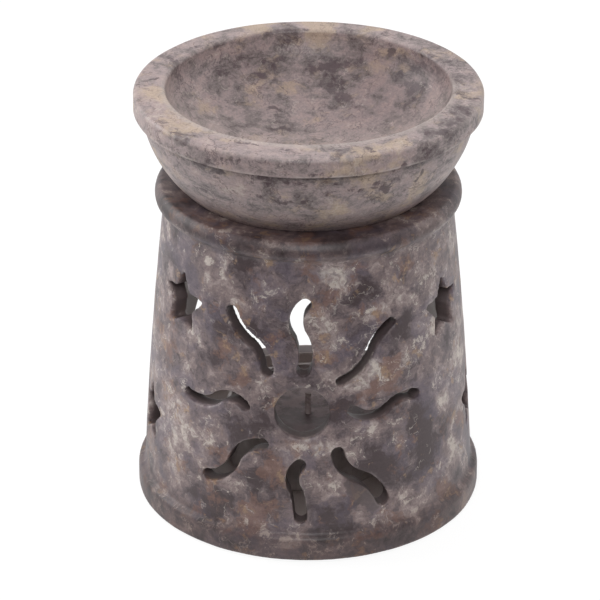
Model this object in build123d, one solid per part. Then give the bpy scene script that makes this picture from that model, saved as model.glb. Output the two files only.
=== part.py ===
from build123d import *
import os
from math import cos, degrees, radians, sin

# Oil burner turned from mottled soapstone. A shallow bowl for water and oil stands loose on a
# hollow tapered base, and a tealight burns inside the base under the bowl.
# Lengths are in millimetres and angles in degrees. +Z is up and z = 0 is the table. The sun
# pierced through the wall faces -Y and the doorway for the tealight faces +Y.

# Base, as turned on the outside
FOOT_RADIUS = 40.0
FOOT_BAND_HEIGHT = 4.8
FOOT_EDGE_ROUND = 0.8
FOOT_SHOULDER_RISE = 1.6
WALL_FOOT_RADIUS = 38.4
WALL_BULGE = 0.5
NECK_RADIUS = 33.0
NECK_DROP = 5.0
LIP_RADIUS = 35.0
LIP_CREST_DROP = 2.7
BASE_HEIGHT = 77.5
RING_EDGE_RADIUS = 33.5

# Base, as hollowed inside
WALL_THICKNESS = 4.5
FLOOR_THICKNESS = 6.0
CAVITY_CORNER_ROUND = 3.0
RING_THICKNESS = 5.0
RING_OPENING_RADIUS = 25.0

# Sun in the front wall: a round hole and wavy rays, each an S of two arcs. The full reach fills
# the wall between its shoulder and its neck, less a margin at each. The rays are cut by hand, so
# each has its own turn, clockwise from upright, its own lean past that turn, and its own shares of
# the start, reach and width. The sway gives each arc's bulge and the bend of the S to one side.
RAY_FOOT_MARGIN = 0.6
RAY_NECK_MARGIN = 7.1
SUN_HOLE_RADIUS = 6.15
RAY_START_RADIUS = 11.8
RAY_SLOT_WIDTH = 2.9
RAY_SWAY = 1.25
RAY_TURNS = (1.4, 48.7, 89.7, 141.5, 181.2, 229.1, 269.3, 321.3)
RAY_LEANS = (0.0, -3.1, 0.0, 0.0, -2.0, 2.7, -3.6, 3.9)
RAY_START_SHARES = (0.88, 1.0, 1.0, 1.09, 1.08, 1.03, 1.14, 1.09)
RAY_REACH_SHARES = (0.89, 0.99, 0.955, 1.015, 0.885, 1.015, 1.0, 0.965)
RAY_WIDTH_SHARES = (1.0, 0.82, 0.87, 1.05, 0.97, 0.93, 0.82, 1.0)
RAY_BEND_SHARES = (-0.5, 0.55, 0.9, 0.0, 0.65, 0.0, 0.2, 0.55)
RAY_INNER_SWAY_SHARES = (0.6, 0.65, 1.1, 1.0, 1.05, 1.15, 1.4, 0.75)
RAY_OUTER_SWAY_SHARES = (1.25, 0.6, 0.9, 0.6, 0.15, 0.9, 0.7, 0.55)

# Stars in the side walls, each with its angle round from the sun. The upper ones are set out
# down from the neck, the lower ones up from the table.
STAR_TIP_RADIUS = 7.6
STAR_NOTCH_SHARE = 0.51
STAR_TIPS = 5
UPPER_LEFT_STAR_ANGLE = -53.2
UPPER_LEFT_STAR_DROP = 16.6
UPPER_RIGHT_STAR_ANGLE = 63.5
UPPER_RIGHT_STAR_DROP = 19.1
LOWER_LEFT_STAR_ANGLE = -74.3
LOWER_LEFT_STAR_HEIGHT = 22.5
LOWER_RIGHT_STAR_ANGLE = 86.0
LOWER_RIGHT_STAR_HEIGHT = 24.0

# Doorway in the back wall: a flat sill, upright jambs and a half-round top below the neck
DOORWAY_HALF_WIDTH = 28.0
DOORWAY_SILL_HEIGHT = 15.2
DOORWAY_NECK_MARGIN = 16.0

# Bowl, which stands on the base's ring and is kept in place by a spigot in the ring's opening. Its
# dish is hollowed a little behind the bowl's axis, so the rim is wider at the front.
BOWL_HEIGHT = 22.5
BOWL_SEAT_RADIUS = 28.2
BOWL_BODY_RADIUS = 37.6
BOWL_BODY_BULGE = 1.9
BOWL_LIP_RADIUS = 39.4
BOWL_LIP_HEIGHT = 5.0
BOWL_LIP_STEP_RISE = 0.5
BOWL_RIM_ROUND = 1.0
BOWL_RIM_WIDTH = 7.3
BOWL_INNER_EDGE_ROUND = 1.0
DISH_DEPTH = 16.0
DISH_OFFSET = 1.4
SPIGOT_DEPTH = 4.0
SPIGOT_CLEARANCE = 0.4
SPIGOT_CHAMFER = 0.8

# Tealight, of the common size
CUP_RADIUS = 18.8
CUP_HEIGHT = 14.0
CUP_WALL = 0.4
CUP_EDGE_CHAMFER = 0.8
CUP_RIM_WIDTH = 0.5
CUP_RIM_DEPTH = 0.6
WAX_HEIGHT = 11.2
WAX_SHRINK_GAP = 0.1
WAX_DIMPLE_RADIUS = 7.0
WAX_DIMPLE_DEPTH = 0.8
SUSTAINER_RADIUS = 6.0
SUSTAINER_PLATE = 0.4
SUSTAINER_NECK_RADIUS = 1.6
SUSTAINER_NECK_HEIGHT = 3.0
WICK_RADIUS = 0.75
WICK_FREE_LENGTH = 4.5
WICK_CLEARANCE = 0.05

# How far a cutting tool runs past what it cuts
OVERRUN = 2.0

# Heights and reaches that follow from the sizes above
SHOULDER_HEIGHT = FOOT_BAND_HEIGHT + FOOT_SHOULDER_RISE
NECK_HEIGHT = BASE_HEIGHT - NECK_DROP
LIP_CREST_HEIGHT = BASE_HEIGHT - LIP_CREST_DROP
SUN_FOOT = SHOULDER_HEIGHT + RAY_FOOT_MARGIN
SUN_TOP = NECK_HEIGHT - RAY_NECK_MARGIN
SUN_HEIGHT = (SUN_FOOT + SUN_TOP) / 2
RAY_END_RADIUS = (SUN_TOP - SUN_FOOT) / 2
DOORWAY_SPRING_HEIGHT = NECK_HEIGHT - DOORWAY_NECK_MARGIN - DOORWAY_HALF_WIDTH


def wall_radius(height):
    """Outer radius of the base's wall at a height between its foot and its neck."""
    share = (height - SHOULDER_HEIGHT) / (NECK_HEIGHT - SHOULDER_HEIGHT)
    straight = WALL_FOOT_RADIUS + (NECK_RADIUS - WALL_FOOT_RADIUS) * share
    return straight + WALL_BULGE * 4 * share * (1 - share)


def turned(*edges):
    """Solid of revolution about Z from the closed outline that the edges make, as (radius, height)."""
    return revolve(Plane.XZ * make_face(Curve() + list(edges)), Axis.Z)


def pierced(sketch, angle, height):
    """Cutter that drives a sketch straight in through the wall, at an angle round from the sun."""
    outwards = (sin(radians(angle)), -cos(radians(angle)), 0)
    sideways = (cos(radians(angle)), sin(radians(angle)), 0)
    reach = wall_radius(height) + OVERRUN
    outside = Plane((reach * outwards[0], reach * outwards[1], height), x_dir=sideways, z_dir=outwards)
    return extrude(outside * sketch, -reach)


def ray_cutter(ray):
    """One wavy ray of the sun, as seen from the front."""
    start_radius = RAY_START_RADIUS * RAY_START_SHARES[ray]
    end_radius = RAY_END_RADIUS * RAY_REACH_SHARES[ray]
    half = (end_radius - start_radius) / 2
    middle = start_radius + half
    turn = radians(RAY_TURNS[ray])
    bend = RAY_SWAY * RAY_BEND_SHARES[ray]
    inner_arc = SagittaArc((0, -half), (bend, 0), -RAY_SWAY * RAY_INNER_SWAY_SHARES[ray])
    outer_arc = SagittaArc((bend, 0), (0, half), RAY_SWAY * RAY_OUTER_SWAY_SHARES[ray])
    spine = Wire([inner_arc.edge(), outer_arc.edge()])
    slot = SlotArc(spine, RAY_SLOT_WIDTH * RAY_WIDTH_SHARES[ray], -RAY_TURNS[ray] - RAY_LEANS[ray])
    angle = degrees(middle * sin(turn) / wall_radius(SUN_HEIGHT))
    return pierced(slot, angle, SUN_HEIGHT + middle * cos(turn))


def star_cutter(angle, height):
    """One five-pointed star with a tip upwards."""
    points = []
    for corner in range(2 * STAR_TIPS):
        reach = STAR_TIP_RADIUS * (STAR_NOTCH_SHARE if corner % 2 else 1)
        turn = radians(corner * 180 / STAR_TIPS)
        points.append((reach * sin(turn), reach * cos(turn)))
    return pierced(make_face(Polyline(*points, close=True)), angle, height)


def doorway_cutter():
    """Arched doorway through the back wall, cut straight along Y."""
    left = -DOORWAY_HALF_WIDTH
    right = DOORWAY_HALF_WIDTH
    crown = DOORWAY_SPRING_HEIGHT + DOORWAY_HALF_WIDTH
    outline = Curve() + [
        Polyline(
            (left, DOORWAY_SPRING_HEIGHT),
            (left, DOORWAY_SILL_HEIGHT),
            (right, DOORWAY_SILL_HEIGHT),
            (right, DOORWAY_SPRING_HEIGHT),
        ),
        ThreePointArc((right, DOORWAY_SPRING_HEIGHT), (0, crown), (left, DOORWAY_SPRING_HEIGHT)),
    ]
    return extrude(Plane.XZ * make_face(outline), -FOOT_RADIUS - OVERRUN)


def make_base():
    """Hollow stone base with its foot, taper, lip, ring and pierced openings."""
    ring_underside = BASE_HEIGHT - RING_THICKNESS
    corner_height = FLOOR_THICKNESS + CAVITY_CORNER_ROUND
    cavity_foot_radius = wall_radius(corner_height) - WALL_THICKNESS
    cavity_top_radius = wall_radius(ring_underside) - WALL_THICKNESS
    stone = turned(
        Polyline((0, FLOOR_THICKNESS), (0, 0), (FOOT_RADIUS - FOOT_EDGE_ROUND, 0)),
        TangentArc((FOOT_RADIUS - FOOT_EDGE_ROUND, 0), (FOOT_RADIUS, FOOT_EDGE_ROUND), tangent=(1, 0)),
        Line((FOOT_RADIUS, FOOT_EDGE_ROUND), (FOOT_RADIUS, FOOT_BAND_HEIGHT)),
        TangentArc((FOOT_RADIUS, FOOT_BAND_HEIGHT), (WALL_FOOT_RADIUS, SHOULDER_HEIGHT), tangent=(0, 1)),
        SagittaArc((WALL_FOOT_RADIUS, SHOULDER_HEIGHT), (NECK_RADIUS, NECK_HEIGHT), -WALL_BULGE),
        TangentArc((LIP_RADIUS, LIP_CREST_HEIGHT), (NECK_RADIUS, NECK_HEIGHT), tangent=(0, -1)),
        TangentArc((LIP_RADIUS, LIP_CREST_HEIGHT), (RING_EDGE_RADIUS, BASE_HEIGHT), tangent=(0, 1)),
        Polyline(
            (RING_EDGE_RADIUS, BASE_HEIGHT),
            (RING_OPENING_RADIUS, BASE_HEIGHT),
            (RING_OPENING_RADIUS, ring_underside),
            (cavity_top_radius, ring_underside),
        ),
        SagittaArc((cavity_top_radius, ring_underside), (cavity_foot_radius, corner_height), WALL_BULGE),
        TangentArc(
            (cavity_foot_radius - CAVITY_CORNER_ROUND, FLOOR_THICKNESS),
            (cavity_foot_radius, corner_height),
            tangent=(1, 0),
        ),
        Line((cavity_foot_radius - CAVITY_CORNER_ROUND, FLOOR_THICKNESS), (0, FLOOR_THICKNESS)),
    )
    cutters = [doorway_cutter(), pierced(Circle(SUN_HOLE_RADIUS), 0, SUN_HEIGHT)]
    cutters += [ray_cutter(ray) for ray in range(len(RAY_TURNS))]
    cutters += [
        star_cutter(UPPER_LEFT_STAR_ANGLE, NECK_HEIGHT - UPPER_LEFT_STAR_DROP),
        star_cutter(UPPER_RIGHT_STAR_ANGLE, NECK_HEIGHT - UPPER_RIGHT_STAR_DROP),
        star_cutter(LOWER_LEFT_STAR_ANGLE, LOWER_LEFT_STAR_HEIGHT),
        star_cutter(LOWER_RIGHT_STAR_ANGLE, LOWER_RIGHT_STAR_HEIGHT),
    ]
    return stone - cutters


def make_bowl():
    """Shallow stone bowl with a flat rim, a lip band and a spigot underneath."""
    top = BASE_HEIGHT + BOWL_HEIGHT
    lip_foot = top - BOWL_LIP_HEIGHT
    dish_radius = BOWL_LIP_RADIUS - BOWL_RIM_WIDTH
    mouth_radius = dish_radius + BOWL_INNER_EDGE_ROUND
    rim_edge = BOWL_LIP_RADIUS - BOWL_RIM_ROUND
    edge_height = top - BOWL_INNER_EDGE_ROUND
    spigot_radius = RING_OPENING_RADIUS - SPIGOT_CLEARANCE
    spigot_foot = BASE_HEIGHT - SPIGOT_DEPTH
    dish_drop = DISH_DEPTH - BOWL_INNER_EDGE_ROUND
    stone = turned(
        Polyline(
            (0, top),
            (0, spigot_foot),
            (spigot_radius - SPIGOT_CHAMFER, spigot_foot),
            (spigot_radius, spigot_foot + SPIGOT_CHAMFER),
            (spigot_radius, BASE_HEIGHT),
            (BOWL_SEAT_RADIUS, BASE_HEIGHT),
        ),
        SagittaArc((BOWL_SEAT_RADIUS, BASE_HEIGHT), (BOWL_BODY_RADIUS, lip_foot), -BOWL_BODY_BULGE),
        Polyline(
            (BOWL_BODY_RADIUS, lip_foot),
            (BOWL_LIP_RADIUS, lip_foot + BOWL_LIP_STEP_RISE),
            (BOWL_LIP_RADIUS, top - BOWL_RIM_ROUND),
        ),
        TangentArc((BOWL_LIP_RADIUS, top - BOWL_RIM_ROUND), (rim_edge, top), tangent=(0, 1)),
        Line((rim_edge, top), (0, top)),
    )
    dish = turned(
        EllipticalCenterArc((0, edge_height), dish_radius, dish_drop, 270, arc_size=90),
        TangentArc((dish_radius, edge_height), (mouth_radius, top), tangent=(0, 1)),
        Polyline(
            (mouth_radius, top),
            (mouth_radius, top + OVERRUN),
            (0, top + OVERRUN),
            (0, top - DISH_DEPTH),
        ),
    )
    return stone - Pos(0, DISH_OFFSET, 0) * dish


def make_cup():
    """Thin metal cup with a bevelled bottom edge and a rolled rim."""
    floor = FLOOR_THICKNESS
    rim = floor + CUP_HEIGHT
    inner_radius = CUP_RADIUS - CUP_WALL
    return turned(
        Polyline(
            (0, floor),
            (CUP_RADIUS - CUP_EDGE_CHAMFER, floor),
            (CUP_RADIUS, floor + CUP_EDGE_CHAMFER),
            (CUP_RADIUS, rim - CUP_RIM_DEPTH),
            (CUP_RADIUS + CUP_RIM_WIDTH, rim - CUP_RIM_DEPTH),
            (CUP_RADIUS + CUP_RIM_WIDTH, rim),
            (inner_radius, rim),
            (inner_radius, floor + CUP_EDGE_CHAMFER + CUP_WALL),
            (inner_radius - CUP_EDGE_CHAMFER, floor + CUP_WALL),
            (0, floor + CUP_WALL),
            close=True,
        )
    )


def make_wax():
    """Wax that fills the cup, cast round the wick and its metal foot, with a dimple at the wick."""
    floor = FLOOR_THICKNESS + CUP_WALL
    level = floor + WAX_HEIGHT
    radius = CUP_RADIUS - CUP_WALL - WAX_SHRINK_GAP
    plate_radius = SUSTAINER_RADIUS + WICK_CLEARANCE
    plate_top = floor + SUSTAINER_PLATE
    neck_radius = SUSTAINER_NECK_RADIUS + WICK_CLEARANCE
    neck_top = floor + SUSTAINER_NECK_HEIGHT
    bore = WICK_RADIUS + WICK_CLEARANCE
    return turned(
        Polyline(
            (bore, level - WAX_DIMPLE_DEPTH),
            (bore, neck_top),
            (neck_radius, neck_top),
            (neck_radius, plate_top),
            (plate_radius, plate_top),
            (plate_radius, floor),
            (radius - CUP_EDGE_CHAMFER, floor),
            (radius, floor + CUP_EDGE_CHAMFER),
            (radius, level),
            (WAX_DIMPLE_RADIUS, level),
            (bore, level - WAX_DIMPLE_DEPTH),
        )
    )


def make_sustainer():
    """Tin plate with a short neck that stands the wick on the cup's floor."""
    floor = FLOOR_THICKNESS + CUP_WALL
    bore = WICK_RADIUS + WICK_CLEARANCE
    return turned(
        Polyline(
            (bore, floor),
            (SUSTAINER_RADIUS, floor),
            (SUSTAINER_RADIUS, floor + SUSTAINER_PLATE),
            (SUSTAINER_NECK_RADIUS, floor + SUSTAINER_PLATE),
            (SUSTAINER_NECK_RADIUS, floor + SUSTAINER_NECK_HEIGHT),
            (bore, floor + SUSTAINER_NECK_HEIGHT),
            close=True,
        )
    )


def make_wick():
    """Wick from the cup's floor to its free end above the wax."""
    floor = FLOOR_THICKNESS + CUP_WALL
    length = WAX_HEIGHT + WICK_FREE_LENGTH
    return extrude(Plane((0, 0, floor)) * Circle(WICK_RADIUS), length)


NODES = {
    "burner_base": make_base,
    "oil_bowl": make_bowl,
    "tealight_cup": make_cup,
    "tealight_wax": make_wax,
    "wick_sustainer": make_sustainer,
    "tealight_wick": make_wick,
}

os.makedirs("parts", exist_ok=True)
for node, make in NODES.items():
    export_step(make(), f"parts/{node}.step")
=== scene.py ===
from math import asin, atan2, cos, pi, radians, sin, tan

import bpy
from bpy.props import FloatProperty, FloatVectorProperty, IntProperty, PointerProperty
from mathutils import Matrix, Vector


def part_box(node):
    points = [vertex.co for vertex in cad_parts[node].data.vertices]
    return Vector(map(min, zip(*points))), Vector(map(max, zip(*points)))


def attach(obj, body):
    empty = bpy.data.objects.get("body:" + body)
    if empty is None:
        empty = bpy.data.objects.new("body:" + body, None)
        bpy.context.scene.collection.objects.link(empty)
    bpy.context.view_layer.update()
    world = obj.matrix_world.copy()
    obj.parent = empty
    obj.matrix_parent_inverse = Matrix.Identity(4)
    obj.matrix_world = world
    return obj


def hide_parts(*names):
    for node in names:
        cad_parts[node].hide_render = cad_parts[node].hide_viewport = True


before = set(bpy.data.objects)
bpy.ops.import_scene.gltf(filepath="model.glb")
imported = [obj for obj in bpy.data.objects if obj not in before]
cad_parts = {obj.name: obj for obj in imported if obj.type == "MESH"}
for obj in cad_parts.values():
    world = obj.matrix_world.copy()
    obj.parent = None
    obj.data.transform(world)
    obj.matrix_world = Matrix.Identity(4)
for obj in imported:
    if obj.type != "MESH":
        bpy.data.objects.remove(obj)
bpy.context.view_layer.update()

bl_info = {
    "name": "Soapstone oil burner",
    "version": (1, 0, 0),
    "blender": (4, 5, 0),
    "location": "3D View > Sidebar > Oil burner",
    "description": "Models and finishes a soapstone oil burner with its bowl and tealight",
    "category": "Object",
}

# The burner is in metres, stands on z = 0 and is turned about Z. The sun faces -Y, the doorway +Y.
BASE_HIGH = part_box("burner_base")[1]
BOWL_LOW, BOWL_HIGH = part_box("oil_bowl")
CUP_LOW, CUP_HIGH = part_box("tealight_cup")
WAX_LOW, WAX_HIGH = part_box("tealight_wax")
WICK_LOW, WICK_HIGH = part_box("tealight_wick")
MILLIMETRE = 0.001
FULL_TURN = 2 * pi
MERGE_DISTANCE = 1e-6
# Edges that turn by more than this stay sharp.
SHARP_EDGE = radians(38)
# A normal that rises by more than this is of a face that looks up.
FACING_UP = 0.01
# Distances between the points of the base's outline, of its cut-outs and of a ray's spine.
BASE_STEP = 0.0008
CUT_STEP = 0.0004
SPINE_STEP = 0.0005
LEAST_ARC_STEPS = 4
BASE_TURNING_STEPS = 200
# A cutter goes in by this many thicknesses of the wall.
CUTTER_WALLS = 4
STAR_TIPS = 5
CORNERS_PER_STRAND = 8
WICK_RINGS = 60
BLACK = (0, 0, 0, 1)
WHITE = (1, 1, 1, 1)


def length(name, description, default):
    """A length in metres that a user may change."""
    return FloatProperty(name=name, description=description, default=default, unit="LENGTH", precision=5)


def share(name, description, default):
    """A share from nothing to all that a user may change."""
    return FloatProperty(name=name, description=description, default=default, min=0, max=1, subtype="FACTOR")


def angle(name, description, degrees):
    """An angle that a user may change."""
    return FloatProperty(name=name, description=description, default=radians(degrees), unit="ROTATION")


def colour(name, description, red, green, blue):
    """A colour that a user may change, in linear light."""
    tint = (red, green, blue, 1)
    return FloatVectorProperty(
        name=name, description=description, default=tint, size=4, min=0, max=1, subtype="COLOR"
    )


def number(name, description, default):
    """A plain number that a user may change."""
    return FloatProperty(name=name, description=description, default=default)


def whole(name, description, default):
    """A whole number that a user may change."""
    return IntProperty(name=name, description=description, default=default)


def row(name, description, values, unit="NONE"):
    """A row of numbers that a user may change, one for each ray or star."""
    size = len(values)
    return FloatVectorProperty(name=name, description=description, default=values, size=size, unit=unit)


def angles(name, description, degrees):
    """A row of angles that a user may change."""
    return row(name, description, [radians(turn) for turn in degrees], "ROTATION")


class BurnerBaseSizes(bpy.types.PropertyGroup):
    """Sizes of the turned and pierced base."""

    foot_radius: length("Foot radius", "Radius of the foot band", BASE_HIGH.x)
    height: length("Height", "Height of the ring that the bowl stands on", BASE_HIGH.z)
    foot_band: length("Foot band", "Height of the upright foot band", 0.0048)
    foot_round: length("Foot edge", "Round of the foot's lower edge", 0.0008)
    shoulder_rise: length("Shoulder rise", "Height of the round shoulder over the foot band", 0.0016)
    wall_foot_radius: length("Wall foot radius", "Radius where the wall leaves the shoulder", 0.0384)
    wall_bulge: length("Wall bulge", "How far the wall swells past a straight taper", 0.0005)
    neck_radius: length("Neck radius", "Radius of the wall under the lip", 0.033)
    neck_drop: length("Neck drop", "Depth of the neck below the top", 0.005)
    lip_radius: length("Lip radius", "Radius of the rounded top lip", 0.035)
    lip_drop: length("Lip drop", "Depth of the lip's widest line below the top", 0.0027)
    ring_edge_radius: length("Ring edge radius", "Radius where the lip meets the flat top", 0.0335)
    wall: length("Wall", "Thickness of the wall", 0.0045)
    floor: length("Floor", "Thickness of the chamber's floor", 0.006)
    corner_round: length("Chamber corner", "Round between the chamber's floor and wall", 0.003)
    ring_thickness: length("Ring thickness", "Thickness of the ring under the bowl", 0.005)
    ring_opening: length("Ring opening", "Radius of the hole in the ring", 0.025)
    sun_height: length("Sun height", "Height of the sun's middle", 0.0362)
    sun_hole: length("Sun hole", "Radius of the hole in the sun's middle", 0.00615)
    ray_start: length("Ray start", "Usual distance of a ray's inner end from the sun's middle", 0.0118)
    ray_end: length("Ray end", "Distance of a full ray's outer end from the sun's middle", 0.0292)
    ray_width: length("Ray width", "Width of a ray's slot", 0.0029)
    ray_sway: length("Ray sway", "Usual distance that a ray's two arcs leave a straight line", 0.00125)
    ray_turns: angles(
        "Ray turns",
        "Turn of each ray, clockwise from upright",
        (1.4, 48.7, 89.7, 141.5, 181.2, 229.1, 269.3, 321.3),
    )
    ray_starts: row(
        "Ray starts",
        "Share of the usual start that each hand-cut ray has",
        (0.88, 1.0, 1.0, 1.09, 1.08, 1.03, 1.14, 1.09),
    )
    ray_ends: row(
        "Ray ends",
        "Share of the full reach that each hand-cut ray has",
        (0.89, 0.99, 0.955, 1.015, 0.885, 1.015, 1.0, 0.965),
    )
    ray_leans: angles(
        "Ray leans",
        "Lean of each ray past its turn, clockwise",
        (0.0, -3.1, 0.0, 0.0, -2.0, 2.7, -3.6, 3.9),
    )
    ray_widths: row(
        "Ray widths",
        "Share of the usual width that each hand-cut ray has",
        (1.0, 0.82, 0.87, 1.05, 0.97, 0.93, 0.82, 1.0),
    )
    ray_bends: row(
        "Ray bends",
        "Share of the usual sway that each ray's middle lies to its right",
        (-0.5, 0.55, 0.9, 0.0, 0.65, 0.0, 0.2, 0.55),
    )
    ray_inner_sways: row(
        "Inner sways",
        "Share of the usual sway that each ray's inner arc has",
        (0.6, 0.65, 1.1, 1.0, 1.05, 1.15, 1.4, 0.75),
    )
    ray_outer_sways: row(
        "Outer sways",
        "Share of the usual sway that each ray's outer arc has",
        (1.25, 0.6, 0.9, 0.6, 0.15, 0.9, 0.7, 0.55),
    )
    star_tip: length("Star tip", "Radius of a star's tips", 0.0076)
    star_notch: share("Star notch", "Radius of a star's notches as a share of its tips'", 0.51)
    star_angles: angles("Star angles", "Angle of each star round from the sun", (-53.2, 63.5, -74.3, 86.0))
    star_heights: row(
        "Star heights",
        "Height of each star's middle",
        (0.0559, 0.0534, 0.0225, 0.0240),
        "LENGTH",
    )
    door_half_width: length("Doorway half width", "Half of the doorway's width", 0.028)
    door_sill: length("Doorway sill", "Height of the doorway's flat sill", 0.0152)
    door_spring: length("Doorway spring", "Height where the doorway's arch starts", 0.0285)
    carve_grain: length("Carving grain", "Fineness of the carved surface", 0.00045)
    worn_rounds: whole("Worn edges", "Rounds of smoothing that wear the edges", 3)
    unevenness: length("Unevenness", "Depth of the hand-finished surface's waves", 0.00012)
    wave_size: length("Wave size", "Width of the waves in the surface", 0.007)
    most_triangles: whole("Most triangles", "Size of the finished mesh", 170000)


class OilBowlSizes(bpy.types.PropertyGroup):
    """Sizes of the turned bowl."""

    seat_height: length("Seat height", "Height of the ring that the bowl stands on", BASE_HIGH.z)
    top: length("Top", "Height of the rim", BOWL_HIGH.z)
    spigot_foot: length("Spigot foot", "Height of the spigot's lower face", BOWL_LOW.z)
    spigot_radius: length("Spigot radius", "Radius of the spigot in the ring", 0.0246)
    spigot_chamfer: length("Spigot chamfer", "Chamfer of the spigot's lower edge", 0.0008)
    seat_radius: length("Seat radius", "Radius of the bowl where it meets the ring", 0.0282)
    body_radius: length("Body radius", "Radius of the bowl under its lip band", 0.0376)
    body_bulge: length("Body bulge", "How far the bowl's outside swells", 0.0019)
    lip_radius: length("Lip radius", "Radius of the lip band", BOWL_HIGH.x)
    lip_height: length("Lip height", "Height of the lip band", 0.005)
    lip_step: length("Lip step", "Rise of the step under the lip band", 0.0005)
    rim_round: length("Rim round", "Round of the rim's outer edge", 0.001)
    rim_width: length("Rim width", "Width of the rim with its round edges", 0.0073)
    inner_round: length("Inner round", "Round of the rim's inner edge", 0.001)
    dish_depth: length("Dish depth", "Depth of the dish below the rim", 0.016)
    dish_offset: length("Dish offset", "How far the dish lies behind the bowl's axis", 0.0014)
    outline_step: length("Outline step", "Distance between points of the turned outline", 0.0006)
    turning_steps: whole("Turning steps", "Steps of the full turn", 224)
    unevenness: length("Unevenness", "Depth of the hand-finished surface's waves", 0.00016)
    wave_size: length("Wave size", "Width of the waves in the surface", 0.009)


class TealightSizes(bpy.types.PropertyGroup):
    """Sizes of the tealight's cup, wax and wick."""

    cup_floor: length("Cup floor", "Height of the cup's underside", CUP_LOW.z)
    cup_rim: length("Cup rim", "Height of the cup's rim", CUP_HIGH.z)
    cup_radius: length("Cup radius", "Radius of the cup's wall", 0.0188)
    cup_wall: length("Cup wall", "Thickness of the cup's metal", 0.0004)
    cup_edge: length("Cup edge", "Round of the cup's lower edge", 0.0008)
    bead_radius: length("Rim bead", "Radius of the rolled bead on the rim", 0.00045)
    rib_radius: length("Floor rib radius", "Radius of the stiffening ring in the cup's floor", 0.0125)
    rib_rise: length("Floor rib rise", "Rise of the stiffening ring in the cup's floor", 0.0003)
    wax_level: length("Wax level", "Height of the wax", WAX_HIGH.z)
    wax_floor: length("Wax floor", "Height of the wax's underside", WAX_LOW.z)
    wax_radius: length("Wax radius", "Radius of the wax", WAX_HIGH.x)
    wax_skirt: length("Wax skirt", "Depth of the wax's surface inside its raised edge", 0.0006)
    wax_edge: length("Wax edge", "Width of the wax's raised edge", 0.0016)
    dimple_radius: length("Dimple radius", "Radius of the dimple round the wick", 0.007)
    dimple_depth: length("Dimple depth", "Depth of the dimple round the wick", 0.0008)
    dimple_sag: length("Dimple sag", "How far the dimple's slope leaves a straight line", 0.0003)
    wick_bore: length("Wick bore", "Radius of the hole in the wax for the wick", 0.0008)
    neck_bore: length("Neck bore", "Radius of the hole in the wax for the sustainer's neck", 0.00165)
    neck_top: length("Neck top", "Height of the sustainer's neck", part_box("wick_sustainer")[1].z)
    plate_bore: length("Plate bore", "Radius of the hole in the wax for the sustainer's plate", 0.00605)
    plate_top: length("Plate top", "Height of the sustainer's plate", 0.0068)
    wick_radius: length("Wick radius", "Radius of the twisted wick", WICK_HIGH.x)
    wick_foot: length("Wick foot", "Height of the wick's lower end", WICK_LOW.z)
    wick_top: length("Wick top", "Height of the wick's free end", WICK_HIGH.z)
    wick_strands: whole("Wick strands", "Strands that are twisted into the wick", 3)
    wick_turns: number("Wick turns", "Full turns of the twist", 4.5)
    wick_groove: share("Wick groove", "Depth of the grooves between strands", 0.2)
    turning_steps: whole("Turning steps", "Steps of the full turn", 144)
    outline_step: length("Outline step", "Distance between points of a turned outline", 0.0006)


class BaseStoneLook(bpy.types.PropertyGroup):
    """Colours of the base's dark mottled soapstone."""

    plum: colour("Plum", "Darkest purple-brown patches", 0.062, 0.042, 0.045)
    slate: colour("Slate", "Dark grey-violet areas", 0.123, 0.094, 0.100)
    mauve: colour("Mauve", "Main mauve-grey of the stone", 0.208, 0.156, 0.153)
    ash: colour("Ash", "Paler grey areas", 0.324, 0.260, 0.250)
    violet: colour("Violet", "Cool violet areas", 0.130, 0.108, 0.142)
    rust: colour("Rust", "Rusty brown patches", 0.205, 0.112, 0.085)
    ochre: colour("Ochre", "Ochre spots", 0.330, 0.220, 0.140)
    cream: colour("Cream", "Pale ragged spots", 0.520, 0.460, 0.415)
    # Multiplied in to darken the foot and the lower wall, and as painted shade on the lip under the bowl.
    darkening_and_lip_shade: colour("Umber", "Brown film on the handled foot and lip", 0.42, 0.355, 0.345)
    # Painted shade on the faces of the cut-outs and in the broken-out edge by the lower right ray.
    slot_shade: colour("Soot", "Oily dark faces of the cut-outs", 0.088, 0.066, 0.066)
    # Powder on cut edges, and the pale colour that paints light on the chamber's inner faces.
    dust_and_painted_light: colour("Dust", "Powder left on cut edges", 0.460, 0.405, 0.385)
    roughness: share("Roughness", "Roughness of the polished stone", 0.42)


class BowlStoneLook(bpy.types.PropertyGroup):
    """Colours of the bowl's paler veined soapstone."""

    plum: colour("Plum", "Dark purple-brown patches", 0.080, 0.048, 0.055)
    smoke: colour("Smoke", "Dark plum-grey veins", 0.080, 0.055, 0.060)
    slate: colour("Slate", "Grey areas", 0.195, 0.160, 0.156)
    mauve: colour("Mauve", "Main pinkish grey of the stone", 0.325, 0.258, 0.255)
    rose: colour("Rose", "Pink-grey areas", 0.385, 0.292, 0.278)
    sand: colour("Sand", "Sandy lumps", 0.465, 0.352, 0.262)
    cream: colour("Cream", "Pale spots", 0.510, 0.440, 0.395)
    # Painted shade, multiplied into the back and the right of the dish.
    film: colour("Film", "Dusty film on the dish", 0.58, 0.53, 0.535)
    # Powder on turned edges, which also stands for a painted highlight on them.
    dust_and_painted_light: colour("Dust", "Powder left on turned edges", 0.560, 0.490, 0.455)
    roughness: share("Roughness", "Roughness of the polished stone", 0.42)


class TealightLook(bpy.types.PropertyGroup):
    """Colours of the tealight."""

    foil: colour("Foil", "Drawn aluminium of the cup, dulled by smoke", 0.56, 0.52, 0.51)
    smoke: colour("Smoke", "Smoke stains on the cup", 0.36, 0.31, 0.30)
    wax: colour("Wax", "Dusky mauve wax", 0.150, 0.112, 0.116)
    wax_bloom: colour("Wax bloom", "Pale bloom on the wax", 0.46, 0.365, 0.37)
    cotton: colour("Cotton", "Waxed cotton of the wick", 0.56, 0.47, 0.46)
    tin: colour("Tin", "Tinned plate of the sustainer", 0.60, 0.60, 0.58)
    tin_marks: colour("Tin marks", "Rolling marks in the tin", 0.48, 0.48, 0.47)


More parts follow.
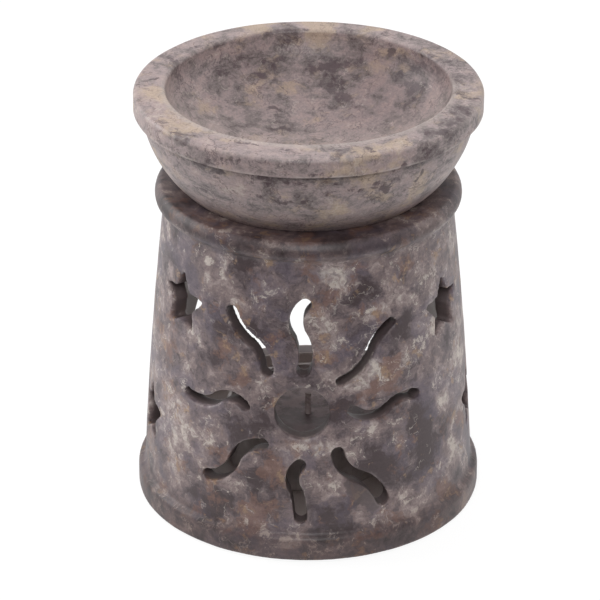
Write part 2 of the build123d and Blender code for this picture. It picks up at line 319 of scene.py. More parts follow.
class StageSettings(bpy.types.PropertyGroup):
    """Camera, floor and lights."""

    lens: number("Lens", "Focal length in millimetres", 208.3)
    camera_reach: length("Camera reach", "Level distance of the camera from the burner's axis", 0.71522)
    camera_height: length("Camera height", "Height of the camera", 0.40894)
    camera_side: angle("Camera side", "Angle of the camera round from the sun", 2.27)
    camera_pitch: angle("Camera pitch", "How far the camera looks down", 26.88)
    camera_slide: length("Camera slide", "Slide of the camera to its left, which sets the framing", 0.0019)
    floor_size: length("Floor size", "Width of the floor", 6.0)
    floor_gap: length("Floor gap", "Room between the floor and the foot", 0.00005)
    floor_glow: number("Floor glow", "Light of the floor's own", 0.86)
    room_front: number("Front light", "Strength of the room behind the camera", 0.2)
    room_back: number("Back light", "Strength of the room behind the burner", 0.8)
    room_dip: share("Room dip", "Share of the room's light that is missing straight above", 0.3)
    overhead: number("Overhead panel", "Power of the overhead panel in watts", 1.7)
    front: number("Front panel", "Power of the panel over the camera in watts", 3.6)
    left: number("Left panel", "Power of the left panel in watts", 4.2)
    right: number("Right panel", "Power of the right panel in watts", 1.1)


class Outline:
    """An outline of (across, up) points that is drawn stretch by stretch."""

    def __init__(self, across, up, step):
        self.points = [Vector((across, up))]
        self.step = step

    def line(self, across, up):
        """Straight on to a point."""
        start = self.points[-1]
        end = Vector((across, up))
        count = max(1, round((end - start).length / self.step))
        self.points += [start.lerp(end, (i + 1) / count) for i in range(count)]
        return self

    def lines(self, *points):
        """Straight on to each of some points."""
        for point in points:
            self.line(*point)
        return self

    def arc(self, across, up, bulge):
        """A round arc to a point. It leaves its chord by bulge, to the right of the way if positive."""
        start = self.points[-1]
        end = Vector((across, up))
        chord = end - start
        half = chord.length / 2
        right = Vector((chord.y, -chord.x)).normalized()
        radius = (half**2 + bulge**2) / (2 * bulge)
        centre = (start + end) / 2 - right * (radius - bulge)
        sweep = 2 * asin(max(-1, min(1, half / radius)))
        count = max(LEAST_ARC_STEPS, round(abs(radius * sweep) / self.step))
        for i in range(count):
            turn = sweep * (i + 1) / count
            spoke = start - centre
            across = spoke.x * cos(turn) - spoke.y * sin(turn)
            up = spoke.x * sin(turn) + spoke.y * cos(turn)
            self.points.append(centre + Vector((across, up)))
        return self

    def swing(self, across, up, heading):
        """A round arc to a point that sets out along a heading."""
        chord = Vector((across, up)) - self.points[-1]
        heading = Vector(heading)
        off_chord = atan2(heading.x * chord.y - heading.y * chord.x, heading.dot(chord))
        return self.arc(across, up, chord.length / 2 * tan(off_chord / 2))

    def land(self, across, up, heading):
        """A round arc to a point that comes in along a heading."""
        chord = Vector((across, up)) - self.points[-1]
        heading = Vector(heading)
        off_chord = atan2(chord.x * heading.y - chord.y * heading.x, heading.dot(chord))
        return self.arc(across, up, chord.length / 2 * tan(off_chord / 2))

    def dish(self, depth):
        """A quarter of an ellipse down and in to the axis."""
        start = self.points[-1]
        count = round((start.x + depth) / self.step)
        for i in range(count):
            turn = pi / 2 * (i + 1) / count
            self.points.append(Vector((start.x * cos(turn), start.y - depth * sin(turn))))
        return self


def loop_of(name, points, fill):
    """A circle whose corners are moved onto the points of an outline, in the XZ plane."""
    bpy.ops.object.select_all(action="DESELECT")
    bpy.ops.mesh.primitive_circle_add(vertices=len(points), radius=1, fill_type=fill)
    piece = bpy.context.object
    piece.name = name
    piece.data.name = name
    for corner, point in zip(piece.data.vertices, points):
        corner.co = (point.x, 0, point.y)
    return piece


def select_edges(piece, wanted):
    """Selects the edges whose two ends are both wanted."""
    corners = piece.data.vertices
    bpy.ops.object.mode_set(mode="EDIT")
    bpy.ops.mesh.select_mode(type="EDGE")
    bpy.ops.mesh.select_all(action="DESELECT")
    bpy.ops.object.mode_set(mode="OBJECT")
    for edge in piece.data.edges:
        edge.select = all(wanted(corners[i].co) for i in edge.vertices)
    bpy.ops.object.mode_set(mode="EDIT")


def sealed():
    """Turns all faces of the piece that is being edited outwards, and ends the edit."""
    bpy.ops.mesh.select_all(action="SELECT")
    bpy.ops.mesh.normals_make_consistent(inside=False)
    bpy.ops.object.mode_set(mode="OBJECT")


def turned(name, outline, steps):
    """Spins an outline about Z into a closed skin. A stretch on the axis itself makes no skin."""
    piece = loop_of(name, outline.points, "NOTHING")
    select_edges(piece, lambda place: place.x < MERGE_DISTANCE)
    bpy.ops.mesh.delete(type="EDGE")
    bpy.ops.mesh.select_all(action="SELECT")
    bpy.ops.mesh.spin(steps=steps, angle=FULL_TURN, center=(0, 0, 0), axis=(0, 0, 1))
    bpy.ops.mesh.select_all(action="SELECT")
    bpy.ops.mesh.remove_doubles(threshold=MERGE_DISTANCE)
    sealed()
    return piece


def modified(piece, kind, **settings):
    """Adds one modifier to a piece, with its settings, and applies it."""
    bpy.context.view_layer.objects.active = piece
    bpy.ops.object.modifier_add(type=kind)
    modifier = piece.modifiers[-1]
    for setting, value in settings.items():
        setattr(modifier, setting, value)
    bpy.ops.object.modifier_apply(modifier=modifier.name)


def hand_finished(piece, depth, size):
    """Gives a turned surface the slight waves of hand work, only inwards."""
    waves = bpy.data.textures.new(piece.name + "_waves", "CLOUDS")
    waves.noise_scale = size
    waves.noise_depth = 1
    modified(piece, "DISPLACE", texture=waves, texture_coords="LOCAL", strength=depth, mid_level=1)


def finished(piece, finish, slot, body, *nodes):
    """Shades a piece, gives it its finish, and lets it stand for its nodes on its body."""
    bpy.ops.object.select_all(action="DESELECT")
    piece.select_set(True)
    bpy.context.view_layer.objects.active = piece
    bpy.ops.object.shade_smooth_by_angle(angle=SHARP_EDGE)
    piece.data.materials.clear()
    piece.data.materials.append(finish)
    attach(piece, body)
    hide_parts(*nodes)


class Signal:
    """One output of a shader node. Sums with numbers or other signals add Math nodes."""

    def __init__(self, recipe, socket):
        self.recipe = recipe
        self.socket = socket

    def __add__(self, other):
        return self.recipe.maths("ADD", self, other)

    def __sub__(self, other):
        return self.recipe.maths("SUBTRACT", self, other)

    def __rsub__(self, other):
        return self.recipe.maths("SUBTRACT", other, self)

    def __mul__(self, other):
        return self.recipe.maths("MULTIPLY", self, other)

    __radd__ = __add__
    __rmul__ = __mul__


class Recipe:
    """The nodes of one finish."""

    def __init__(self, tree):
        tree.nodes.clear()
        self.tree = tree

    def node(self, kind, settings, sockets, output=0):
        """Adds a node: its settings first, then the values or links of its sockets."""
        made = self.tree.nodes.new(kind)
        for setting, value in settings.items():
            if setting == "stops":
                self.fill_ramp(made.color_ramp, value)
            else:
                setattr(made, setting, value)
        for name, value in sockets.items():
            socket = next(s for s in made.inputs if name in (s.identifier, s.name))
            if isinstance(value, Signal):
                self.tree.links.new(value.socket, socket)
            else:
                socket.default_value = value
        return Signal(self, made.outputs[output]) if made.outputs else None

    def fill_ramp(self, ramp, stops):
        """Puts (place, colour) stops on a colour ramp."""
        while len(ramp.elements) < len(stops):
            ramp.elements.new(1)
        for element, (place, tint) in zip(ramp.elements, stops):
            element.position = place
            element.color = tint

    def maths(self, operation, first, second):
        """One sum on values."""
        return self.node("ShaderNodeMath", {"operation": operation}, {"Value": first, "Value_001": second})

    def vectors(self, operation, first, second, output=0):
        """One sum on places."""
        sockets = {"Vector": first, "Vector_001": second}
        return self.node("ShaderNodeVectorMath", {"operation": operation}, sockets, output)

    def larger(self, first, second):
        """The larger of two values."""
        return self.maths("MAXIMUM", first, second)

    def place(self):
        """Where the shaded point is on the burner."""
        return self.node("ShaderNodeTexCoord", {}, {}, "Object")

    def noise(self, place, size, seed, detail=3.0, roughness=0.5, output="Fac"):
        """Soft random lumps of a size in metres."""
        return self.node(
            "ShaderNodeTexNoise",
            {"noise_dimensions": "4D"},
            {"Vector": place, "W": seed, "Scale": 1 / size, "Detail": detail, "Roughness": roughness},
            output,
        )

    def warped(self, place, size, reach, seed):
        """A place that is pushed about, so that lumps get ragged outlines."""
        push = self.noise(place, size, seed, roughness=0.6, output="Color")
        level = self.vectors("SUBTRACT", push, (0.5,) * 3)
        return self.node(
            "ShaderNodeVectorMath",
            {"operation": "MULTIPLY_ADD"},
            {"Vector": level, "Vector_001": (reach,) * 3, "Vector_002": place},
        )

    def stretched(self, place, factors):
        """A place with each axis multiplied."""
        return self.vectors("MULTIPLY", place, factors)

    def band(self, value, low, high):
        """Soft step from 0 at low to 1 at high."""
        return self.node(
            "ShaderNodeMapRange",
            {"interpolation_type": "SMOOTHSTEP"},
            {"Value": value, "From Min": low, "From Max": high},
        )

    def blend(self, part, first, second, how="MIX"):
        """One colour over another by a part from 0 to 1."""
        return self.node(
            "ShaderNodeMix",
            {"data_type": "RGBA", "blend_type": how},
            {"Factor_Float": part, "A_Color": first, "B_Color": second},
            2,
        )

    def tones(self, value, *stops):
        """A colour from a row of (value, colour) stops."""
        return self.node("ShaderNodeValToRGB", {"stops": stops}, {"Fac": value})

    def marked(self, value, place, marks, amount):
        """A value raised by an amount at each of some marks, and less towards the mark's reach."""
        for spot, reach in marks:
            away = self.vectors("DISTANCE", place, spot, "Value")
            core = reach * MARK_CORE_SHARE
            value = value + self.node(
                "ShaderNodeMapRange",
                {},
                {"Value": away, "From Min": core, "From Max": reach, "To Min": amount, "To Max": 0},
            )
        return value

    def streaked(self, value, place, streaks, amount):
        """A value raised by an amount along each of some straight streaks, and less towards its reach."""
        for start, end, reach in streaks:
            way = end - start
            past = self.vectors("SUBTRACT", place, start)
            part = self.vectors("DOT_PRODUCT", past, way / way.length_squared, "Value")
            part = self.node("ShaderNodeClamp", {}, {"Value": part})
            met = self.node("ShaderNodeVectorMath", {"operation": "SCALE"}, {"Vector": way, "Scale": part})
            value = self.marked(value, past, ((met, reach),), amount)
        return value

    def radius(self, place):
        """Distance from the turning axis."""
        level = self.stretched(place, (1, 1, 0))
        return self.node("ShaderNodeVectorMath", {"operation": "LENGTH"}, {"Vector": level}, "Value")

    def along(self, place, axis):
        """How far a place lies along X, Y or Z."""
        return self.node("ShaderNodeSeparateXYZ", {}, {"Vector": place}, axis)

    def height(self, place):
        """Height over the table."""
        return self.along(place, "Z")

    def ridges(self, place, pitch, seed):
        """Fine lines round the turning axis."""
        line = (self.radius(place) + self.height(place)) * (1 / pitch) + seed
        sockets = {"W": line, "Scale": 1, "Detail": 3}
        return self.node("ShaderNodeTexNoise", {"noise_dimensions": "1D"}, sockets)

    def veins(self, place, size, width, seed):
        """1 along thin wandering lines."""
        level = self.noise(place, size, seed, detail=4, roughness=0.6) - 0.5
        away = self.node("ShaderNodeMath", {"operation": "ABSOLUTE"}, {"Value": level})
        return 1 - self.band(away, 0, width)

    def grained(self, tint, place, pitch, seed):
        """A tint with a fine grain and the lines of turning in it, and those two by themselves."""
        grain = self.noise(place, size=0.0005, seed=seed, roughness=0.7)
        lines = self.ridges(place, pitch, seed + 1)
        shadow = grain * 0.9 + lines * 0.25 + 0.42
        return self.blend(1.0, tint, shadow, "MULTIPLY"), grain, lines

    def worn(self, low, high):
        """1 on edges that stand proud."""
        return self.band(self.node("ShaderNodeNewGeometry", {}, {}, "Pointiness"), low, high)

    def bumped(self, height, strength, distance):
        """Normals of a fine relief."""
        return self.node("ShaderNodeBump", {}, {"Strength": strength, "Distance": distance, "Height": height})

    def surface(self, **sockets):
        """Ends the recipe in one shader, whose socket names have _ for a space."""
        named = {name.replace("_", " "): value for name, value in sockets.items()}
        shader = self.node("ShaderNodeBsdfPrincipled", {}, named)
        self.node("ShaderNodeOutputMaterial", {}, {"Surface": shader})


def new_finish(name):
    """An empty material and the recipe of its nodes."""
    finish = bpy.data.materials.new(name)
    finish.use_nodes = True
    return finish, Recipe(finish.node_tree)


# Share of a mark's reach that has the whole of its amount.
MARK_CORE_SHARE = 0.3

# Line of the wall that the base's marks lie on, in millimetres: radius at the table and loss with height.
MARK_LINE_RADIUS = 39
MARK_LINE_TAPER = 0.085

# Large marks of the base's stone: degrees round from the sun, height and reach in millimetres.
BASE_PALE_MARKS = (
    (-34, 67, 7), (-14, 68, 6), (8, 68, 6), (19, 75, 7), (0, 62, 6), (33, 61, 7), (8, 55, 6), (-46, 47, 6),
    (24, 44, 6), (55, 50, 8), (66, 35, 9), (1, 27, 5), (-41, 23, 6), (10, 18, 6), (-26, 16, 6),
    (37, 27, 7), (62, 17, 8), (-5, 5, 6), (40, 11, 6), (-55, 26, 9), (-50, 15, 8),
)
BASE_DARK_MARKS = (
    (-22, 69, 6), (-42, 46, 6), (-30, 51, 7), (25, 64, 6), (44, 31, 7), (52, 21, 8), (-15, 55, 6),
    (38, 54, 6), (-19, 32, 8), (-16, 18, 6), (28, 23, 9), (19, 18, 8), (12, 37, 4), (-32, 11, 7),
    (46, 26, 6), (10, 9, 6), (17, 77, 7), (41, 17, 8),
)
BASE_RUST_MARKS = (
    (6, 64, 6), (1, 76, 7), (32, 44, 7), (14, 51, 6), (-29, 26, 6), (-4, 30, 6), (-10, 22, 7), (-14, 10, 7),
    (-21, 5, 7), (60, 5, 9),
)
# Edge broken out beside the sun's lower right ray, only painted with its shade: both ends and the reach to
# each side, in millimetres.
RAY_RECESS = ((11.7, -35.9, 17.3, 16.2, -34.6, 12.8, 3.0),)

# Large marks of the bowl's stone: where they are and their reach, in millimetres.
BOWL_DARK_MARKS = (
    (-13, 27, 93, 5), (-9, 29, 93, 4), (4, 29, 92, 7), (9, 29, 93, 6), (5, 25, 89, 7), (9, 20, 88, 7),
    (23, 17, 92, 6), (20, 14, 89, 5), (-5, 11, 85, 6), (-8, 11, 85, 5), (-5, 33, 98, 5), (21, 25, 99, 6),
    (-34, 14, 100, 6), (34, 0, 100, 7), (35, -12, 100, 6), (32, -18, 100, 6), (7, -36, 100, 4),
    (28, -26, 100, 6), (9, 35, 100, 5), (18, -32, 90, 7), (16, -34, 94, 6), (-7, -36, 90, 4),
    (0, -36, 89, 4), (-4, -38, 94, 6), (-24, -31, 95, 5), (25, -30, 95, 5),
)
# Pale marks of the stone; those over the front and the floor of the dish also paint light there.
BOWL_PALE_AND_LIT_MARKS = (
    (-34, -6, 100, 8), (-29, -18, 100, 8), (-18, -31, 100, 7), (-14, -33, 90, 8),
    (-36, 6, 100, 6), (0, -2, 84, 8), (-12, -6, 85, 8), (8, -14, 86, 8),
    (0, -25, 89, 10), (-12, -23, 89, 9), (12, -23, 89, 9),
)
BOWL_SAND_MARKS = (
    (-8, 25, 90, 5), (16, 26, 93, 6), (2, 14, 85, 5), (-34, -6, 100, 7), (-29, -18, 100, 6), (11, -37, 97, 7),
    (7, -34, 87, 5), (24, -24, 85, 5), (-14, 36, 100, 6), (2, 37, 100, 6), (20, -32, 100, 7),
)

# Dark veins of the bowl's stone: both ends and the reach to each side, in millimetres.
BOWL_VEINS = (
    (-15, 27, 94, -12, 26, 91, 1.2), (-12, 26, 91, -8, 31, 94, 1.2), (-6, 33, 97, -2, 33, 98, 1.2),
    (-34, 17, 100, -30, 14, 100, 2.5), (-37, 2, 100, -34, 3, 100, 1.0), (-30, 13, 99, -29, 11, 94, 1.2),
    (-26, 22, 100, -22, 25, 99, 1.6), (-7, 33, 100, -1, 34, 100, 1.2), (-2, 29, 91, 3, 30, 93, 1.4),
    (1, 30, 92, 4, 30, 92, 2.6), (4, 30, 92, 11, 30, 94, 1.6), (2, 26, 90, 8, 22, 88, 2.2),
    (8, 22, 88, 11, 18, 87, 1.8), (16, 32, 100, 18, 28, 97, 1.6), (18, 28, 97, 28, 17, 97, 1.4),
    (27, 19, 100, 29, 17, 100, 2.2), (21, 21, 92, 23, 18, 92, 2.0), (23, 18, 92, 20, 14, 89, 2.0),
    (25, 17, 93, 26, 17, 94, 2.0), (32, 10, 100, 33, 6, 100, 2.2), (34, -2, 100, 37, -5, 100, 2.2),
    (-12, 16, 87, -9, 18, 87, 0.9), (-9, 18, 87, -4, 15, 86, 1.1), (-9, 9, 85, -6, 11, 85, 1.2),
    (-6, 11, 85, -3, 9, 84, 1.6), (-16, -30, 100, -10, -32, 100, 0.8), (-5, -34, 100, 1, -36, 100, 1.3),
    (-29, -26, 100, -23, -28, 100, 0.9), (-21, -33, 97, -14, -37, 98, 1.4), (-9, -38, 99, -7, -39, 99, 1.2),
    (-20, -30, 90, -16, -32, 88, 1.1), (-26, -23, 86, -22, -28, 87, 0.9), (-19, -32, 94, -17, -33, 94, 1.4),
    (-9, -36, 94, -5, -37, 94, 1.4), (-3, -37, 94, 0, -37, 94, 1.6), (6, -38, 100, 8, -36, 100, 1.5),
    (13, -32, 100, 15, -34, 100, 1.2), (27, -28, 99, 30, -24, 100, 1.8), (30, -24, 100, 33, -17, 100, 2.0),
    (20, -32, 94, 22, -33, 96, 1.2), (16, -33, 92, 18, -31, 89, 1.7), (18, -31, 89, 20, -31, 91, 1.5),
    (5, -36, 90, 7, -36, 92, 1.0), (7, -36, 92, 18, -32, 90, 0.8), (20, -29, 86, 24, -27, 90, 0.9),
    (24, -27, 90, 26, -26, 92, 0.8), (3, -39, 96, 5, -39, 96, 1.5), (-10, -35, 89, 0, -36, 88, 1.0),
)

# Soft bounds of the base's finish, as heights: darkening towards the foot and up the lower wall, painted
# shade on the lip under the bowl, and ends of the wall.
FOOT_DARKENING = (0.0045, 0.0090)
WALL_DARKENING = (0.008, 0.034)
LIP_SHADE = (0.0725, 0.0755)
WALL_FOOT = (0.0010, 0.0025)
WALL_TOP = (0.0715, 0.0735)

# Line of the base's outer wall: radius at the table and loss with height. Then the depths under it that
# faces of the cut-outs and of the chamber lie at.
WALL_LINE_RADIUS = 0.0393
WALL_LINE_TAPER = 0.0781
CUT_FACES = (0.0008, 0.0018)
CHAMBER_FACES = (0.0041, 0.0046)

# Soft bounds of the bowl's finish: radius and height of its dish, and places over the dish and the wax where
# painted shade and painted light fade in.
DISH_EDGE = (0.0325, 0.0340)
DISH_FLOOR = (0.0828, 0.0840)
DISH_SHADE_TO_BACK = (-0.006, 0.026)
DISH_SHADE_TO_RIGHT = (-0.004, 0.024)
DISH_LIT_FRONT = (-0.010, 0.016)
WAX_LIT_TO_BACK = (-0.010, 0.010)

# Bounds of the floor's own light, of the room's light towards the back and of its dip towards the top.
FLOOR_LIT = (-0.10, -0.065)
ROOM_TO_BACK = (-0.7, 0.7)
ROOM_TO_TOP = (0.3, 0.95)
PAPER_GREY = (0.16, 0.16, 0.16, 1)

# Light panels: the setting with their power, where they hang and their width. All look at one place.
PANELS = (
    ("overhead", (0.0, 0.20, 0.75), 0.8),
    ("front", (0.0, -0.65, 0.58), 0.35),
    ("left", (-0.75, 0.20, 0.40), 0.6),
    ("right", (0.75, 0.20, 0.40), 0.6),
)
PANEL_AIM = Vector((0, 0, 0.05))
NEAREST_SEEN = 0.01


def wall_marks(marks):
    """Places on the base's wall and reaches, in metres."""
    for degrees, height, reach in marks:
        radius = MARK_LINE_RADIUS - MARK_LINE_TAPER * height
        spot = Vector((radius * sin(radians(degrees)), -radius * cos(radians(degrees)), height))
        yield spot * MILLIMETRE, reach * MILLIMETRE


def streak_places(streaks):
    """Both ends of streaks and their reaches, in metres."""
    for *ends, reach in streaks:
        yield Vector(ends[:3]) * MILLIMETRE, Vector(ends[3:]) * MILLIMETRE, reach * MILLIMETRE


def bowl_marks(marks):
    """Places on the bowl and reaches, in metres."""
    for *spot, reach in marks:
        yield Vector(spot) * MILLIMETRE, reach * MILLIMETRE


def base_stone(look):
    """Dark mottled soapstone: mauve-grey, with pale ragged spots, rusty patches and edges pale with powder.

    The stone is darker towards the foot and up the lower wall, with painted shade on the lip under the bowl.
    The faces of the cut-outs and a broken-out edge carry painted shade, the chamber painted light.
    """
    finish, mix = new_finish("mottled_soapstone")
    place = mix.place()
    height = mix.height(place)
    ragged = mix.warped(place, size=0.005, reach=0.005, seed=1)
    ragged = mix.warped(ragged, size=0.0014, reach=0.0016, seed=2)

    shade = mix.noise(ragged, size=0.006, seed=3, detail=7, roughness=0.70)
    shade = shade + (mix.noise(place, size=0.022, seed=4, detail=2) - 0.5) * 0.25
    shade = mix.marked(shade, ragged, wall_marks(BASE_PALE_MARKS), amount=0.09)
    shade = mix.marked(shade, ragged, wall_marks(BASE_DARK_MARKS), amount=-0.12)
    tint = mix.tones(
        shade,
        (0.37, look.plum),
        (0.45, look.slate),
        (0.53, look.mauve),
        (0.61, look.ash),
        (0.70, look.cream),
    )
    violet = mix.noise(ragged, size=0.010, seed=5, detail=4, roughness=0.6)
    tint = mix.blend(mix.band(violet, 0.50, 0.60) * 0.45, tint, look.violet)
    rust = mix.noise(ragged, size=0.007, seed=6, detail=6, roughness=0.68)
    rust = mix.marked(rust, ragged, wall_marks(BASE_RUST_MARKS), amount=0.10)
    tint = mix.blend(mix.band(rust, 0.55, 0.63) * 0.6, tint, look.rust)
    ochre = mix.noise(ragged, size=0.0035, seed=7, detail=5, roughness=0.65) + (rust - 0.5) * 0.5
    tint = mix.blend(mix.band(ochre, 0.60, 0.67) * 0.65, tint, look.ochre)
    cream = mix.noise(ragged, size=0.0032, seed=8, detail=8, roughness=0.76) + (shade - 0.5) * 0.55
    cream = mix.band(cream, 0.58, 0.635)
    tint = mix.blend(cream * 0.8, tint, look.cream)
    veined = mix.band(mix.noise(place, size=0.009, seed=10, roughness=0.6), 0.50, 0.60)
    veinlets = mix.veins(ragged, size=0.009, width=0.012, seed=9) * veined
    tint = mix.blend(veinlets * 0.5, tint, look.cream)

    # Darker towards the foot and up the lower wall, and painted shade on the lip in the bowl's shadow.
    darkened = (1 - mix.band(height, *FOOT_DARKENING)) * 0.66 + (1 - mix.band(height, *WALL_DARKENING)) * 0.34
    tint = mix.blend(darkened + mix.band(height, *LIP_SHADE) * 0.74, tint, look.darkening_and_lip_shade, "MULTIPLY")
    specks = mix.noise(ragged, size=0.0012, seed=11, detail=4, roughness=0.65)
    tint = mix.blend(mix.band(specks, 0.58, 0.65) * 0.5, tint, look.plum)
    tint, grain, lines = mix.grained(tint, place, pitch=0.0007, seed=12)
    pale_edge_patches = mix.band(mix.noise(place, size=0.006, seed=14, roughness=0.6), 0.46, 0.62)
    tint = mix.blend(mix.worn(0.510, 0.57) * pale_edge_patches * 0.45, tint, look.dust_and_painted_light)

    # Painted shade of the broken-out edge beside the lower right ray.
    recess_shade = mix.streaked(grain * 0.5 - 0.25, ragged, streak_places(RAY_RECESS), amount=1.0)
    tint = mix.blend(mix.band(recess_shade, 0.25, 0.65) * 0.75, tint, look.slot_shade)
    # Painted shade on the faces of the cut-outs.
    sunk = WALL_LINE_RADIUS - height * WALL_LINE_TAPER - mix.radius(place)
    wall_only = mix.band(height, *WALL_FOOT) * (1 - mix.band(height, *WALL_TOP))
    tint = mix.blend(mix.band(sunk, *CUT_FACES) * wall_only * 0.9, tint, look.slot_shade)
    # Painted light: the chamber's inner faces are made lighter, as if lit.
    chamber_light = mix.blend(grain, look.ash, look.dust_and_painted_light)
    tint = mix.blend(mix.band(sunk, *CHAMBER_FACES) * wall_only, tint, chamber_light)

    relief = grain * 0.5 + lines * 0.5 + cream * 0.25
    mix.surface(
        Base_Color=tint,
        Roughness=look.roughness + 0.15 * cream + 0.12 * grain,
        Normal=mix.bumped(relief, strength=0.25, distance=0.00025),
        Specular_IOR_Level=0.5,
    )
    return finish


def bowl_stone(look):
    """Paler soapstone: pinkish grey, with sandy lumps, dark veins and dark purple-brown patches.

    Painted shade darkens the back and the right of the dish, and painted light lightens its front; pale edges
    are partly powder, partly painted highlight.
    """
    finish, mix = new_finish("veined_soapstone")
    place = mix.place()
    depth = mix.along(place, "Y")
    flowing = mix.warped(place, size=0.006, reach=0.004, seed=21)
    ragged = mix.warped(flowing, size=0.0016, reach=0.0010, seed=22)
    lying = mix.stretched(ragged, (0.8, 0.8, 1.3))

    shade = mix.noise(lying, size=0.005, seed=23, detail=8, roughness=0.76)
    shade = shade + (mix.noise(place, size=0.020, seed=24, detail=2) - 0.5) * 0.2
    shade = mix.marked(shade, ragged, bowl_marks(BOWL_PALE_AND_LIT_MARKS), amount=0.05)
    shade = mix.marked(shade, ragged, bowl_marks(BOWL_DARK_MARKS), amount=-0.05)
    tint = mix.tones(
        shade,
        (0.34, look.plum),
        (0.42, look.slate),
        (0.50, look.mauve),
        (0.58, look.rose),
        (0.70, look.cream),
    )
    sand = mix.noise(lying, size=0.006, seed=31, detail=5, roughness=0.65)
    sand = mix.marked(sand, ragged, bowl_marks(BOWL_SAND_MARKS), amount=0.12)
    dish = (1 - mix.band(mix.radius(place), *DISH_EDGE)) * mix.band(mix.height(place), *DISH_FLOOR)
    tint = mix.blend(mix.band(sand - dish * 0.04, 0.51, 0.65) * 0.75, tint, look.sand)
    # Painted shade on the back and the right of the dish, and painted light on its front.
    film = 0.52 * mix.band(depth, *DISH_SHADE_TO_BACK) + 0.42 * mix.band(mix.along(place, "X"), *DISH_SHADE_TO_RIGHT)
    tint = mix.blend(dish * film, tint, look.film, "MULTIPLY")
    tint = mix.blend(dish * (1 - mix.band(depth, *DISH_LIT_FRONT)) * 0.35, tint, look.cream)

    veined = mix.band(mix.noise(lying, size=0.006, seed=33, roughness=0.6), 0.50, 0.58)
    pale = mix.veins(flowing, size=0.007, width=0.014, seed=32) * veined
    tint = mix.blend(pale * 0.35, tint, look.cream)
    broken = (mix.noise(ragged, size=0.0022, seed=25, detail=7, roughness=0.78) - 0.5) * 2.4
    drawn = mix.band(mix.streaked(broken, ragged, streak_places(BOWL_VEINS), amount=0.36), 0.20, 0.50)
    threaded = mix.band(mix.noise(lying, size=0.007, seed=27, roughness=0.6), 0.44, 0.54)
    threads = mix.veins(flowing, size=0.008, width=0.016, seed=26) * threaded
    haired = mix.band(mix.noise(flowing, size=0.005, seed=35, roughness=0.6), 0.47, 0.57)
    hairs = mix.veins(lying, size=0.0035, width=0.022, seed=34) * haired
    dark = mix.larger(drawn * 0.85, mix.larger(threads * 0.65, hairs * 0.55))
    murk = mix.band(mix.noise(place, size=0.010, seed=28), 0.42, 0.58)
    tint = mix.blend(dark, tint, mix.blend(murk, look.plum, look.smoke))

    tint, grain, lines = mix.grained(tint, place, pitch=0.0008, seed=29)
    # Pale proud edges: partly powder, partly painted highlight.
    pale_edge_patches = mix.band(mix.noise(place, size=0.006, seed=32, roughness=0.6), 0.40, 0.60)
    tint = mix.blend(mix.worn(0.510, 0.56) * pale_edge_patches * 0.45, tint, look.dust_and_painted_light)
    mix.surface(
        Base_Color=tint,
        Roughness=look.roughness + 0.12 * grain,
        Normal=mix.bumped(grain * 0.4 + lines * 0.6, strength=0.25, distance=0.00025),
        Specular_IOR_Level=0.5,
    )
    return finish


def drawn_foil(look):
    """Thin drawn aluminium with fine upright draw marks, dulled and stained by smoke."""
    finish, mix = new_finish("drawn_foil")
    place = mix.place()
    marks = mix.noise(mix.stretched(place, (1, 1, 0.05)), size=0.0004, seed=41, detail=2, roughness=0.6)
    stains = mix.band(mix.noise(place, size=0.005, seed=42, detail=4, roughness=0.65), 0.4, 0.65)
    mix.surface(
        Base_Color=mix.blend(stains * 0.45 + marks * 0.3, look.foil, look.smoke),
        Metallic=0.6,
        Roughness=0.42 + 0.2 * stains,
        Normal=mix.bumped(marks, strength=0.2, distance=0.0001),
    )
    return finish


def scented_wax(look):
    """Dusky mauve wax with a pale bloom, made stronger at the back as painted light, and a faintly rippled
    surface.
    """
    finish, mix = new_finish("scented_wax")
    place = mix.place()
    bloom = mix.band(mix.noise(place, size=0.005, seed=51, detail=7, roughness=0.72), 0.42, 0.60)
    ripple = mix.noise(place, size=0.0025, seed=52, detail=2)
    # The bloom is stronger at the back of the wax: painted light.
    paler = bloom * (0.25 + 0.65 * mix.band(mix.along(place, "Y"), *WAX_LIT_TO_BACK))
    mix.surface(
        Base_Color=mix.blend(paler, look.wax, look.wax_bloom),
        Roughness=0.5 + 0.2 * bloom,
        Normal=mix.bumped(ripple, strength=0.2, distance=0.0003),
    )
    return finish


def waxed_cotton(look):
    """Cotton threads soaked in dusky wax."""
    finish, mix = new_finish("waxed_cotton")
    upright = mix.stretched(mix.place(), (1, 1, 0.3))
    threads = mix.noise(upright, size=0.0002, seed=61, detail=2, roughness=0.6)
    mix.surface(
        Base_Color=mix.blend(threads * 0.4, look.cotton, look.wax),
        Roughness=0.75,
        Normal=mix.bumped(threads, strength=0.4, distance=0.0001),
    )
    return finish


def tinned_plate(look):
    """Thin tinned steel with rolling marks."""
    finish, mix = new_finish("tinned_plate")
    rolled = mix.stretched(mix.place(), (0.05, 1, 1))
    marks = mix.noise(rolled, size=0.0003, seed=71, detail=2, roughness=0.6)
    mix.surface(
        Base_Color=mix.blend(marks, look.tin, look.tin_marks),
        Metallic=1.0,
        Roughness=0.3 + 0.2 * marks,
    )
    return finish


